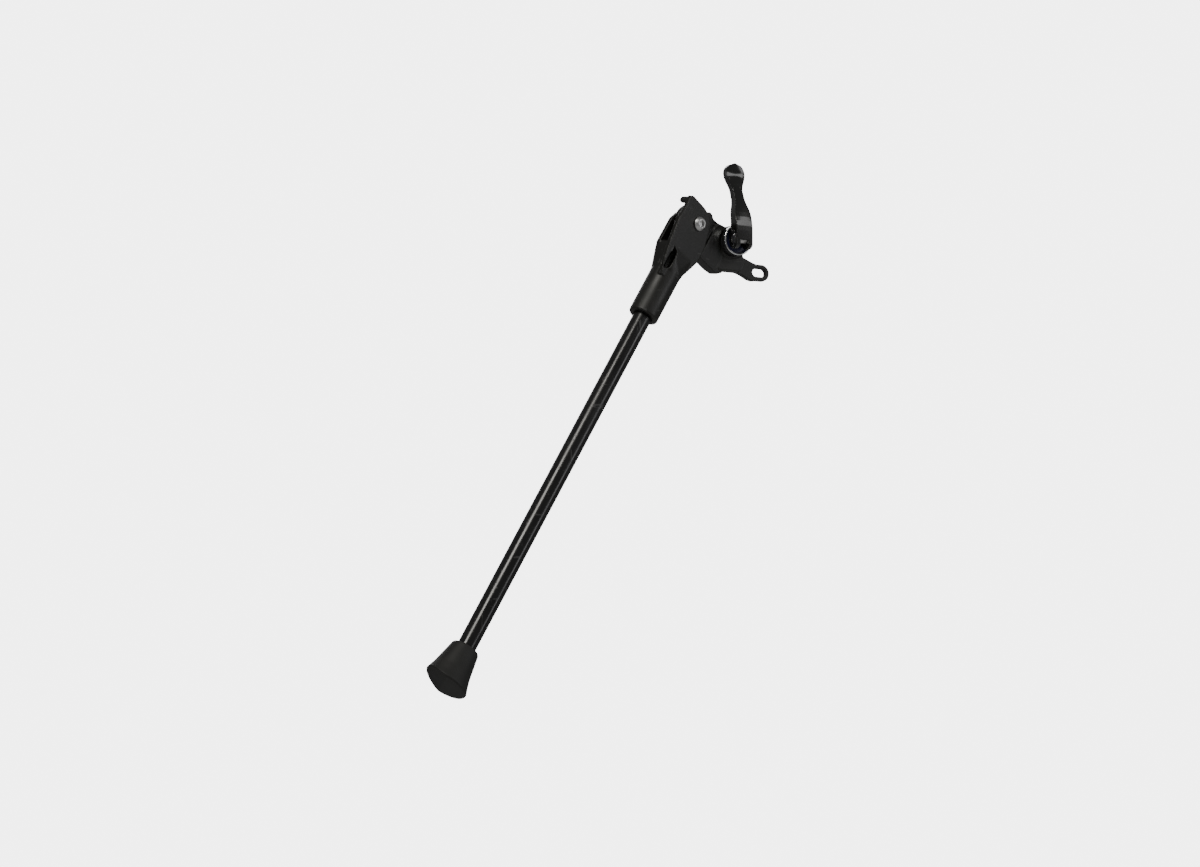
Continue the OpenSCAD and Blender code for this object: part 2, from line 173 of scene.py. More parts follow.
def node(tree, kind, links=(), **values):
    made = tree.nodes.new(kind)
    for key, value in values.items():
        setattr(made, key, value)
    for socket, source in links:
        feed(tree, source, made.inputs[socket])
    return made


def noise(tree, coords, scale, detail=4, rough=0.55):
    return node(tree, "ShaderNodeTexNoise",
                [("Vector", coords), ("Scale", scale), ("Detail", detail), ("Roughness", rough)])


def ramp(tree, value, low, high, out_low=0.0, out_high=1.0):
    made = node(tree, "ShaderNodeMapRange",
                [("Value", value), ("From Min", low), ("From Max", high),
                 ("To Min", out_low), ("To Max", out_high)])
    made.clamp = True
    return made.outputs["Result"]


def maths(tree, operation, a, b=0.0):
    return node(tree, "ShaderNodeMath", [(0, a), (1, b)], operation=operation).outputs[0]


def blend_color(tree, mask, a, b):
    made = node(tree, "ShaderNodeMix", data_type="RGBA")
    for index, source in ((0, mask), (6, a), (7, b)):
        feed(tree, source, made.inputs[index])
    return made.outputs[2]


def build_edge_wear_and_highlight_group():
    """Rubbed edges and a painted edge highlight: convex edges, found from how the surface turns, broken
    up by noise.
    """
    tree, start, end = new_group("edge_wear_and_highlight", [
        ("Vector", "NodeSocketVector", (0, 0, 0)), ("Amount", "NodeSocketFloat", 0.5),
        ("Breakup", "NodeSocketFloat", 600.0)],
        [("Mask", "NodeSocketFloat")])
    geometry = node(tree, "ShaderNodeNewGeometry")
    # convex edges are marked for lightening: partly rubbed wear, partly a painted edge highlight
    edges = ramp(tree, geometry.outputs["Pointiness"], 0.505, 0.56)
    broken = noise(tree, start.outputs["Vector"], start.outputs["Breakup"], 5, 0.7)
    cut = ramp(tree, broken.outputs["Fac"], 0.42, 0.62)
    mask = maths(tree, "MULTIPLY", edges, cut)
    mask = maths(tree, "MULTIPLY", mask, start.outputs["Amount"])
    tree.links.new(mask, end.inputs["Mask"])
    return tree


def build_dust_group():
    """Fine pale dust that gathers unevenly, and faint smears."""
    tree, start, end = new_group("settled_dust", [
        ("Vector", "NodeSocketVector", (0, 0, 0)), ("Amount", "NodeSocketFloat", 0.3)],
        [("Mask", "NodeSocketFloat"), ("Smear", "NodeSocketFloat")])
    fine = noise(tree, start.outputs["Vector"], 900, 6, 0.75)
    broad = noise(tree, start.outputs["Vector"], 28, 3, 0.5)
    specks = ramp(tree, fine.outputs["Fac"], 0.56, 0.72)
    patches = ramp(tree, broad.outputs["Fac"], 0.42, 0.68)
    mask = maths(tree, "MULTIPLY", specks, patches)
    mask = maths(tree, "MULTIPLY", mask, start.outputs["Amount"])
    tree.links.new(mask, end.inputs["Mask"])
    tree.links.new(patches, end.inputs["Smear"])
    return tree


def build_peel_group():
    """Orange-peel skin of a sprayed or powder coat: a height and a roughness shift."""
    tree, start, end = new_group("orange_peel", [
        ("Vector", "NodeSocketVector", (0, 0, 0)), ("Size", "NodeSocketFloat", 900.0)],
        [("Height", "NodeSocketFloat"), ("Grain", "NodeSocketFloat")])
    lumps = noise(tree, start.outputs["Vector"], start.outputs["Size"], 2, 0.4)
    grit_size = maths(tree, "MULTIPLY", start.outputs["Size"], 3.4)
    grit = noise(tree, start.outputs["Vector"], grit_size, 3, 0.6)
    height = maths(tree, "ADD", lumps.outputs["Fac"],
                   maths(tree, "MULTIPLY", grit.outputs["Fac"], 0.35))
    tree.links.new(height, end.inputs["Height"])
    tree.links.new(grit.outputs["Fac"], end.inputs["Grain"])
    return tree


def build_scratch_group():
    """Hair scratches in two slanted directions."""
    tree, start, end = new_group("hair_scratches", [
        ("Vector", "NodeSocketVector", (0, 0, 0)), ("Density", "NodeSocketFloat", 400.0)],
        [("Mask", "NodeSocketFloat")])
    total = None
    for turn, stretch in (((0.5, 0.2, 0.4), (1, 1, 0.02)), ((-0.3, 0.9, 1.1), (0.02, 1, 1))):
        mapping = node(tree, "ShaderNodeMapping", [("Vector", start.outputs["Vector"])])
        mapping.inputs["Rotation"].default_value = turn
        mapping.inputs["Scale"].default_value = stretch
        lines = noise(tree, mapping.outputs["Vector"], start.outputs["Density"], 2, 0.5)
        thin = ramp(tree, lines.outputs["Fac"], 0.66, 0.7)
        total = thin if total is None else maths(tree, "MAXIMUM", total, thin)
    tree.links.new(total, end.inputs["Mask"])
    return tree


GROUPS = {}
MATERIALS = {}


def place_group(tree, name, links):
    made = tree.nodes.new("ShaderNodeGroup")
    made.node_tree = GROUPS[name]
    for socket, source in links:
        feed(tree, source, made.inputs[socket])
    return made


def new_material(name):
    made = bpy.data.materials.new(name)
    made.use_nodes = True
    tree = made.node_tree
    tree.nodes.clear()
    output = tree.nodes.new("ShaderNodeOutputMaterial")
    shader = tree.nodes.new("ShaderNodeBsdfPrincipled")
    tree.links.new(shader.outputs[0], output.inputs[0])
    coords = tree.nodes.new("ShaderNodeTexCoord")
    return made, tree, shader, coords.outputs["Object"]


def bump(tree, shader, height, distance):
    made = node(tree, "ShaderNodeBump", [("Height", height), ("Distance", distance), ("Strength", 1.0)])
    tree.links.new(made.outputs[0], shader.inputs["Normal"])


def coated_metal(name, color, rough, peel_size, peel_height, edge_wear_and_light, dust, bare_and_edge_light=(0.2, 0.2, 0.2, 1)):
    """Sprayed or powder-coated metal with rubbed edges, also lightened as a painted edge highlight,
    peel, dust and hair scratches.
    """
    made, tree, shader, place = new_material(name)
    worn_and_lit_edges = place_group(tree, "edge_wear_and_highlight", [("Vector", place), ("Amount", edge_wear_and_light)])
    dirt = place_group(tree, "settled_dust", [("Vector", place), ("Amount", dust)])
    peel = place_group(tree, "orange_peel", [("Vector", place), ("Size", peel_size)])
    hairs = place_group(tree, "hair_scratches", [("Vector", place), ("Density", 500.0)])
    tone = noise(tree, place, 45, 3, 0.6)
    lighter = tuple(c * 1.3 + 0.001 for c in color[:3]) + (1,)
    base = blend_color(tree, ramp(tree, tone.outputs["Fac"], 0.35, 0.7), color, lighter)
    # edges turn to the pale bare colour: partly rubbed-through coat, partly a painted highlight on the
    # edges
    base = blend_color(tree, worn_and_lit_edges.outputs["Mask"], base, bare_and_edge_light)
    base = blend_color(tree, dirt.outputs["Mask"], base, (0.16, 0.155, 0.14, 1))
    base = blend_color(tree, maths(tree, "MULTIPLY", hairs.outputs["Mask"], 0.18), base, bare_and_edge_light)
    tree.links.new(base, shader.inputs["Base Color"])
    uneven = ramp(tree, dirt.outputs["Smear"], 0, 1, rough - 0.05, rough + 0.09)
    uneven = maths(tree, "ADD", uneven, maths(tree, "MULTIPLY", peel.outputs["Grain"], 0.06))
    uneven = maths(tree, "ADD", uneven, maths(tree, "MULTIPLY", hairs.outputs["Mask"], 0.1))
    tree.links.new(uneven, shader.inputs["Roughness"])
    tree.links.new(maths(tree, "MULTIPLY", worn_and_lit_edges.outputs["Mask"], 0.8), shader.inputs["Metallic"])
    bump(tree, shader, peel.outputs["Height"], peel_height)
    MATERIALS[name] = made
    return shader


def bright_metal(name, color, rough, brushed, wear_tone):
    """Plated or machined metal: turning lines, small stains and a varied polish."""
    made, tree, shader, place = new_material(name)
    shader.inputs["Metallic"].default_value = 1
    dirt = place_group(tree, "settled_dust", [("Vector", place), ("Amount", 0.08)])
    hairs = place_group(tree, "hair_scratches", [("Vector", place), ("Density", 900.0)])
    stains = noise(tree, place, 130, 4, 0.6)
    base = blend_color(tree, ramp(tree, stains.outputs["Fac"], 0.45, 0.75), color, wear_tone)
    base = blend_color(tree, dirt.outputs["Mask"], base, (0.3, 0.29, 0.27, 1))
    tree.links.new(base, shader.inputs["Base Color"])
    fine = noise(tree, place, 2600, 3, 0.7)
    uneven = ramp(tree, stains.outputs["Fac"], 0.3, 0.8, rough, rough + 0.12)
    uneven = maths(tree, "ADD", uneven, maths(tree, "MULTIPLY", hairs.outputs["Mask"], 0.12))
    uneven = maths(tree, "ADD", uneven, maths(tree, "MULTIPLY", fine.outputs["Fac"], brushed))
    tree.links.new(uneven, shader.inputs["Roughness"])
    height = maths(tree, "SUBTRACT", fine.outputs["Fac"], hairs.outputs["Mask"])
    bump(tree, shader, height, 0.000004)
    MATERIALS[name] = made
    return shader


def moulded(name, color, rough, grain, dust=0.06):
    """Moulded plastic or rubber with a fine matt skin."""
    made, tree, shader, place = new_material(name)
    dirt = place_group(tree, "settled_dust", [("Vector", place), ("Amount", dust)])
    peel = place_group(tree, "orange_peel", [("Vector", place), ("Size", grain)])
    worn_and_lit_edges = place_group(tree, "edge_wear_and_highlight", [("Vector", place), ("Amount", 0.12)])
    tone = noise(tree, place, 60, 4, 0.6)
    paler = tuple(c * 1.3 + 0.002 for c in color[:3]) + (1,)
    base = blend_color(tree, ramp(tree, tone.outputs["Fac"], 0.35, 0.7), color, paler)
    # edges paler by curvature: partly rubbed wear, partly a painted edge highlight
    rubbed_and_lit_edge = tuple(c * 2.2 + 0.02 for c in color[:3]) + (1,)
    base = blend_color(tree, worn_and_lit_edges.outputs["Mask"], base, rubbed_and_lit_edge)
    base = blend_color(tree, dirt.outputs["Mask"], base, (0.17, 0.165, 0.15, 1))
    tree.links.new(base, shader.inputs["Base Color"])
    uneven = ramp(tree, dirt.outputs["Smear"], 0, 1, rough - 0.04, rough + 0.08)
    tree.links.new(uneven, shader.inputs["Roughness"])
    bump(tree, shader, peel.outputs["Height"], 0.00002)
    MATERIALS[name] = made
    return shader


# ---------------------------------------------------------------- mesh tools

def new_piece(name, mesh, nodes, smooth_angle=35):
    """Adds a finished surface, with the body and the material of the CAD node it stands for."""
    body, slot = BODY_OF[nodes[0]], SLOT_OF[nodes[0]]
    piece = bpy.data.objects.new(name, mesh)
    bpy.context.collection.objects.link(piece)
    mesh.materials.clear()
    mesh.materials.append(MATERIALS[slot])
    for face in mesh.polygons:
        face.use_smooth = True
    mesh.set_sharp_from_angle(angle=math.radians(smooth_angle))
    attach(piece, body)
    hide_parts(*nodes)


def merged_copy(node_name):
    """A welded copy of a CAD node's mesh, as a bmesh."""
    shape = bmesh.new()
    shape.from_mesh(frame["nodes"][node_name].data)
    bmesh.ops.remove_doubles(shape, verts=shape.verts, dist=0.000002)
    bmesh.ops.dissolve_limit(shape, angle_limit=math.radians(0.4), verts=shape.verts, edges=shape.edges)
    return shape


def to_mesh(shape, name):
    mesh = bpy.data.meshes.new(name)
    shape.to_mesh(mesh)
    shape.free()
    return mesh


def baked(obj, name):
    """The evaluated shape of an object as a plain mesh; the object is removed."""
    graph = bpy.context.evaluated_depsgraph_get()
    mesh = bpy.data.meshes.new_from_object(obj.evaluated_get(graph))
    mesh.name = name
    bpy.data.objects.remove(obj)
    return mesh


def raw_object(node_name, name):
    """An object with a CAD node's welded mesh, for modifiers to work on."""
    work = bpy.data.objects.new(name + "_raw", to_mesh(merged_copy(node_name), name + "_raw"))
    bpy.context.collection.objects.link(work)
    return work


def soft_casting(node_name, voxel, rounds, name):
    """The CAD shape remeshed finely and relaxed, so its edges round off as a casting's do."""
    work = raw_object(node_name, name)
    remesh = work.modifiers.new("voxels", "REMESH")
    remesh.mode = "VOXEL"
    remesh.voxel_size = voxel
    relax = work.modifiers.new("relax", "CORRECTIVE_SMOOTH")
    relax.use_only_smooth = True
    relax.smooth_type = "SIMPLE"
    relax.factor = 0.5
    relax.iterations = rounds
    return baked(work, name)


def crisp_copy(node_name, width, name, segments=2):
    """The CAD shape with its sharp edges bevelled a little."""
    work = raw_object(node_name, name)
    bevel = work.modifiers.new("edges", "BEVEL")
    bevel.width = width
    bevel.segments = segments
    bevel.limit_method = "ANGLE"
    bevel.angle_limit = math.radians(38)
    bevel.use_clamp_overlap = True
    return baked(work, name)


def crisp_pieces(names, width, segments=2):
    """Makes each named CAD node a bevelled piece of its own."""
    for name in names:
        new_piece(name + "_piece", crisp_copy(name, width, name + "_piece", segments), [name])


def lathe(profile, place, name):
    """Turns (radius, height) points about Z and places the result; a radius of 0 closes a pole."""
    shape = bmesh.new()
    rings = []
    for radius, height in profile:
        if radius < 1e-7:
            rings.append([shape.verts.new(place @ Vector((0, 0, height)))])
            continue
        ring = []
        for i in range(TURNED_SIDES):
            turn = 2 * math.pi * i / TURNED_SIDES
            point = Vector((radius * math.cos(turn), radius * math.sin(turn), height))
            ring.append(shape.verts.new(place @ point))
        rings.append(ring)
    for low, high in zip(rings, rings[1:]):
        for i in range(TURNED_SIDES):
            j = (i + 1) % TURNED_SIDES
            corners = [low[i % len(low)], low[j % len(low)], high[j % len(high)], high[i % len(high)]]
            unique = list(dict.fromkeys(corners))
            if len(unique) > 2:
                shape.faces.new(unique)
    bmesh.ops.recalc_face_normals(shape, faces=shape.faces)
    return to_mesh(shape, name)


def rounded_profile(corners, radius, steps=4):
    """Rounds the inner corners of an open (radius, height) outline."""
    points = [Vector(corners[0])]
    for before, corner, after in zip(corners, corners[1:], corners[2:]):
        corner = Vector(corner)
        back, ahead = Vector(before) - corner, Vector(after) - corner
        reach = min(radius, back.length * 0.45, ahead.length * 0.45)
        a, b = corner + back.normalized() * reach, corner + ahead.normalized() * reach
        for i in range(steps + 1):
            t = i / steps
            points.append(a.lerp(corner, t).lerp(corner.lerp(b, t), t))
    points.append(Vector(corners[-1]))
    return [(p.x, p.y) for p in points]


# ---------------------------------------------------------------- geometry node trees

def new_tree(name, inputs):
    tree = bpy.data.node_groups.new(name, "GeometryNodeTree")
    tree.is_modifier = True
    tree.interface.new_socket("Geometry", in_out="INPUT", socket_type="NodeSocketGeometry")
    for label, kind, value in inputs:
        socket = tree.interface.new_socket(label, in_out="INPUT", socket_type=kind)
        if value is not None:
            socket.default_value = value
    tree.interface.new_socket("Geometry", in_out="OUTPUT", socket_type="NodeSocketGeometry")
    return tree, tree.nodes.new("NodeGroupInput"), tree.nodes.new("NodeGroupOutput")


def close_tree(tree, start, end, geometry):
    real = node(tree, "GeometryNodeRealizeInstances", [("Geometry", geometry)])
    finish = node(tree, "GeometryNodeSetMaterial", [
        ("Geometry", real.outputs[0]), ("Material", start.outputs["Material"])])
    tree.links.new(finish.outputs[0], end.inputs[0])


def ring_tree():
    """A ring of equal ribs joined to the turned body they stand on."""
    tree, start, end = new_tree("rib_ring", [
        ("Count", "NodeSocketInt", 24), ("Radius", "NodeSocketFloat", 0.008),
        ("Rib", "NodeSocketVector", (0.001, 0.001, 0.003)), ("Seed", "NodeSocketInt", 3),
        ("Material", "NodeSocketMaterial", None)])
    circle = node(tree, "GeometryNodeMeshCircle", [
        ("Vertices", start.outputs["Count"]), ("Radius", start.outputs["Radius"])])
    points = node(tree, "GeometryNodeMeshToPoints", [("Mesh", circle.outputs[0])])
    place = node(tree, "GeometryNodeInputPosition")
    flat = node(tree, "ShaderNodeVectorMath", [(0, place.outputs[0]), (1, (1, 1, 0))],
                operation="MULTIPLY")
    turn = node(tree, "FunctionNodeAlignRotationToVector", [("Vector", flat.outputs[0])], axis="X")
    rib = node(tree, "GeometryNodeMeshCube", [("Size", start.outputs["Rib"]),
                                              ("Vertices X", 3), ("Vertices Y", 3), ("Vertices Z", 3)])
    vary = node(tree, "FunctionNodeRandomValue", data_type="FLOAT")
    vary.inputs[2].default_value = 0.97
    vary.inputs[3].default_value = 1.0
    tree.links.new(start.outputs["Seed"], vary.inputs["Seed"])
    spread = node(tree, "GeometryNodeInstanceOnPoints", [
        ("Points", points.outputs[0]), ("Instance", rib.outputs[0]), ("Rotation", turn.outputs[0]),
        ("Scale", vary.outputs[1])])
    both = node(tree, "GeometryNodeJoinGeometry")
    tree.links.new(start.outputs["Geometry"], both.inputs[0])
    tree.links.new(spread.outputs[0], both.inputs[0])
    close_tree(tree, start, end, both.outputs[0])
    return tree


def coil_tree():
    """Round wire swept along a helix of even pitch, with capped ends."""
    tree, start, end = new_tree("coil", [
        ("Turns", "NodeSocketFloat", COIL_TURNS), ("Coil Radius", "NodeSocketFloat", COIL_RADIUS),
        ("Length", "NodeSocketFloat", COIL_LENGTH), ("Wire Radius", "NodeSocketFloat", WIRE_RADIUS),
        ("Material", "NodeSocketMaterial", None)])
    helix = node(tree, "GeometryNodeCurveSpiral", [
        ("Resolution", 40), ("Rotations", start.outputs["Turns"]),
        ("Start Radius", start.outputs["Coil Radius"]), ("End Radius", start.outputs["Coil Radius"]),
        ("Height", start.outputs["Length"])])
    wire = node(tree, "GeometryNodeCurvePrimitiveCircle", [
        ("Resolution", 12), ("Radius", start.outputs["Wire Radius"])])
    swept = node(tree, "GeometryNodeCurveToMesh", [
        ("Curve", helix.outputs[0]), ("Profile Curve", wire.outputs[0]), ("Fill Caps", True)])
    close_tree(tree, start, end, swept.outputs[0])
    return tree


def grown(tree, base, values, name):
    """Runs a node tree on a base mesh and returns the plain mesh it makes."""
    work = bpy.data.objects.new(name + "_work", base)
    bpy.context.collection.objects.link(work)
    modifier = work.modifiers.new("grow", "NODES")
    modifier.node_group = tree
    keys = {item.name: item.identifier for item in tree.interface.items_tree
            if item.item_type == "SOCKET" and item.in_out == "INPUT"}
    for label, value in values.items():
        modifier[keys[label]] = value
    mesh = baked(work, name)
    if not len(mesh.polygons):
        raise RuntimeError(f"{name}: the node tree made nothing")
    return mesh


def mm(points):
    return [(r * MM, z * MM) for r, z in points]


def along_y(y):
    """Places a turned piece on the clamp's axis with its own Z pointing outboard."""
    return Matrix.Translation((0, y * MM, 0)) @ Matrix.Rotation(math.pi / 2, 4, "X")


def down_leg(offset, z):
    """Places a piece on the rod's axis, z millimetres above the pivot."""
    return HINGE @ Matrix.Translation((offset, 0, z * MM))


# ---------------------------------------------------------------- the pieces

class STAND_OT_materials(bpy.types.Operator):
    """Makes the shared shader groups and every procedural material"""
    bl_idname = "stand.materials"
    bl_label = "Materials"

    def execute(self, context):
        finish = context.scene.stand_finish
        GROUPS["edge_wear_and_highlight"] = build_edge_wear_and_highlight_group()
        GROUPS["settled_dust"] = build_dust_group()
        GROUPS["orange_peel"] = build_peel_group()
        GROUPS["hair_scratches"] = build_scratch_group()
        # in these calls the edge wear amount also sets the painted edge highlight
        for name, color, rough, size, height, edge_wear_and_light, dust in (
                ("cast_black", finish.coat_color, 0.4, 1500, 0.000016, 0.07, 0.05),
                ("rod_black", finish.rod_color, 0.2, 700, 0.000003, 0.04, 0.04)):
            coated_metal(name, tuple(color), rough, size, height, edge_wear_and_light, dust)
        shader = coated_metal("lever_black", tuple(finish.lever_color), 0.2, 600, 0.000002, 0.07, 0.03)
        shader.inputs["Coat Weight"].default_value = 0.5
        shader.inputs["Coat Roughness"].default_value = 0.08
        moulded("rubber", tuple(finish.rubber_color), 0.62, 1300)
        moulded("plastic_black", (0.017, 0.017, 0.018, 1), 0.45, 1000)
        moulded("plastic_blue", tuple(finish.pad_color), 0.38, 1000, 0.03)
        moulded("plastic_pale", (0.5, 0.48, 0.42, 1), 0.4, 1000, 0.15)
        bright_metal("chrome", (0.78, 0.79, 0.8, 1), 0.07, 0.04, (0.66, 0.67, 0.68, 1))
        bright_metal("steel", (0.58, 0.58, 0.58, 1), 0.26, 0.12, (0.45, 0.45, 0.44, 1))
        bright_metal("black_oxide", (0.06, 0.06, 0.065, 1), 0.36, 0.12, (0.1, 0.09, 0.08, 1))
        bright_metal("bush", (0.55, 0.38, 0.2, 1), 0.34, 0.12, (0.4, 0.27, 0.14, 1))
        return {"FINISHED"}


class STAND_OT_castings(bpy.types.Operator):
    """Builds the bracket and the leg's head with softened casting edges"""
    bl_idname = "stand.castings"
    bl_label = "Castings"

    def execute(self, context):
        voxel = context.scene.stand_sizes.casting_round
        for name in ("mount_bracket", "leg_head"):
            mesh = soft_casting(name, voxel, CASTING_ROUNDS, name + "_casting")
            new_piece(name + "_casting", mesh, [name], 60)
        return {"FINISHED"}


class STAND_OT_lever(bpy.types.Operator):
    """Builds the cam lever with a crowned outer face"""
    bl_idname = "stand.lever"
    bl_label = "Lever"

    def execute(self, context):
        mesh = soft_casting("clamp_lever", LEVER_VOXEL, LEVER_ROUNDS, "lever_blade")
        low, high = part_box("clamp_lever")
        dish_z = high.z - DISH_BELOW_TIP
        # read every normal before any point moves
        moved = []
        before = [(vertex.co.copy(), -vertex.normal.y) for vertex in mesh.vertices]
        for (x, y, z), outboard in before:
            rise = min(1.0, max(0.0, (z - CROWN_START) / CROWN_RUN))
            facing = max(0.0, outboard)
            reach = min(1.0, abs(x) / (high.x * 0.95))
            scoop = math.exp(-((z - dish_z) / DISH_HALF_HEIGHT) ** 2 - (x / DISH_HALF_WIDTH) ** 2)
            inward = facing * (CROWN * rise * reach * reach + DISH * scoop)
            moved.append(Vector((x, y + inward, z)))
        # softening draws the blade in a little, so it is spread to its full extent again
        for axis in (0, 2):
            ends = [min(p[axis] for p in moved), max(p[axis] for p in moved)]
            for point in moved:
                share = (point[axis] - ends[0]) / (ends[1] - ends[0])
                point[axis] = low[axis] + share * (high[axis] - low[axis])
        mesh.vertices.foreach_set("co", [value for point in moved for value in point])
        mesh.update()
        new_piece("lever_blade", mesh, ["clamp_lever"], 60)
        return {"FINISHED"}


class STAND_OT_clamp(bpy.types.Operator):
    """Builds the cup, pad, spacer, stud and barrel under the lever"""
    bl_idname = "stand.clamp"
    bl_label = "Clamp"

    def execute(self, context):
        low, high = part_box("cam_cup")
        back, outer = -high.y / MM, high.x / MM
        height = -low.y / MM - back
        # turned outward from the cup's back, its own Z pointing outboard
        profile = rounded_profile([
            (2.6, 0), (outer - 0.2, 0), (outer, 0.6), (outer, height - 0.3), (outer - 0.5, height),
            (outer - 1.1, height - 0.12), (outer - 1.25, height - 3.2), (2.6, height - 3.25),
            (2.6, 0)], 0.35)
        new_piece("cup_ring", lathe(mm(profile), along_y(-back), "cup_ring"), ["cam_cup"], 30)
        crisp_pieces(("cam_pad", "spacer_washer", "cross_barrel", "clamp_stud"),
                     context.scene.stand_sizes.edge_round)
        return {"FINISHED"}


class STAND_OT_nut(bpy.types.Operator):
    """Builds the adjusting nut with its ribbed rim, its toothed face and its locking ring"""
    bl_idname = "stand.nut"
    bl_label = "Adjusting nut"

    def execute(self, context):
        low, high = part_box("clamp_nut")
        base = soft_casting("clamp_nut", NUT_VOXEL, CASTING_ROUNDS, "nut_base")
        turned = Matrix.Translation((0, low.y + RIB_MIDDLE, 0)) @ Matrix.Rotation(math.pi / 2, 4, "X")
        base.transform(turned.inverted())
        mesh = grown(ring_tree(), base, {
            "Count": RIB_COUNT, "Radius": high.x - RIB_INSET, "Rib": RIB_SIZE, "Seed": 5,
            "Material": MATERIALS[SLOT_OF["clamp_nut"]]}, "nut_body")
        mesh.transform(turned)
        new_piece("nut_body", mesh, ["clamp_nut"])
        crisp_pieces(("nut_washer", "nut_insert"), context.scene.stand_sizes.edge_round * 0.5, 1)
        return {"FINISHED"}


class STAND_OT_rod(bpy.types.Operator):
    """Builds the straight painted rod with its chamfered ends"""
    bl_idname = "stand.rod"
    bl_label = "Rod"

    def execute(self, context):
        sizes = context.scene.stand_sizes
        radius, bottom = sizes.rod_d / 2 / MM, ROD_ABOVE_GROUND - sizes.leg_length / MM
        profile = rounded_profile([
            (0, bottom), (radius - ROD_CHAMFER, bottom), (radius, bottom + ROD_CHAMFER_RUN),
            (radius, ROD_TOP - ROD_CHAMFER_RUN), (radius - ROD_CHAMFER, ROD_TOP), (0, ROD_TOP)], 0.5)
        mesh = lathe(mm(profile), down_leg(sizes.leg_offset, 0), "leg_tube")
        new_piece("leg_tube", mesh, ["leg_rod"], 30)
        return {"FINISHED"}


class STAND_OT_foot(bpy.types.Operator):
    """Builds the moulded rubber foot with its plain sole"""
    bl_idname = "stand.foot"
    bl_label = "Foot"

    def execute(self, context):
        boot = soft_casting("rubber_foot", FOOT_VOXEL, CASTING_ROUNDS, "foot_base")
        new_piece("foot_boot", boot, ["rubber_foot"], 40)
        return {"FINISHED"}


class STAND_OT_pivot(bpy.types.Operator):
    """Builds the pivot bolt, its nut and washers, and the bush"""
    bl_idname = "stand.pivot"
    bl_label = "Pivot"

    def execute(self, context):
        width = context.scene.stand_sizes.edge_round
        crisp_pieces(("pivot_bolt",), width * 1.7, 3)
        crisp_pieces(("pivot_washer", "pivot_nut", "pivot_nut_insert", "thrust_washers", "pivot_bush"),
                     width, 3)
        return {"FINISHED"}


class STAND_OT_plunger(bpy.types.Operator):
    """Builds the sprung plunger, its coil spring and seat, and the rod's grub screw"""
    bl_idname = "stand.plunger"
    bl_label = "Plunger"

    def execute(self, context):
        sizes = context.scene.stand_sizes
        seed = bmesh.new()
        seed.verts.new((0, 0, 0))
        coil = grown(coil_tree(), to_mesh(seed, "coil_seed"), {
            "Turns": COIL_TURNS, "Coil Radius": COIL_RADIUS, "Length": COIL_LENGTH,
            "Wire Radius": WIRE_RADIUS, "Material": MATERIALS[SLOT_OF["detent_spring"]]}, "coil_wire")
        coil.transform(down_leg(sizes.leg_offset, COIL_START))
        new_piece("coil_wire", coil, ["detent_spring"])
        crisp_pieces(("detent_plunger", "spring_seat", "rod_grub_screw"), sizes.edge_round)
        return {"FINISHED"}


# ---------------------------------------------------------------- floor, light and camera

def aim(location, target):
    return (Vector(target) - Vector(location)).to_track_quat("-Z", "Y").to_euler()


def area_light(name, location, target, size, power, tint=(1, 1, 1)):
    data = bpy.data.lights.new(name, "AREA")
    data.shape = "RECTANGLE"
    data.size, data.size_y = size
    data.energy = power
    data.color = tint
    lamp = bpy.data.objects.new(name, data)
    lamp.location = location
    lamp.rotation_euler = aim(location, target)
    bpy.context.collection.objects.link(lamp)


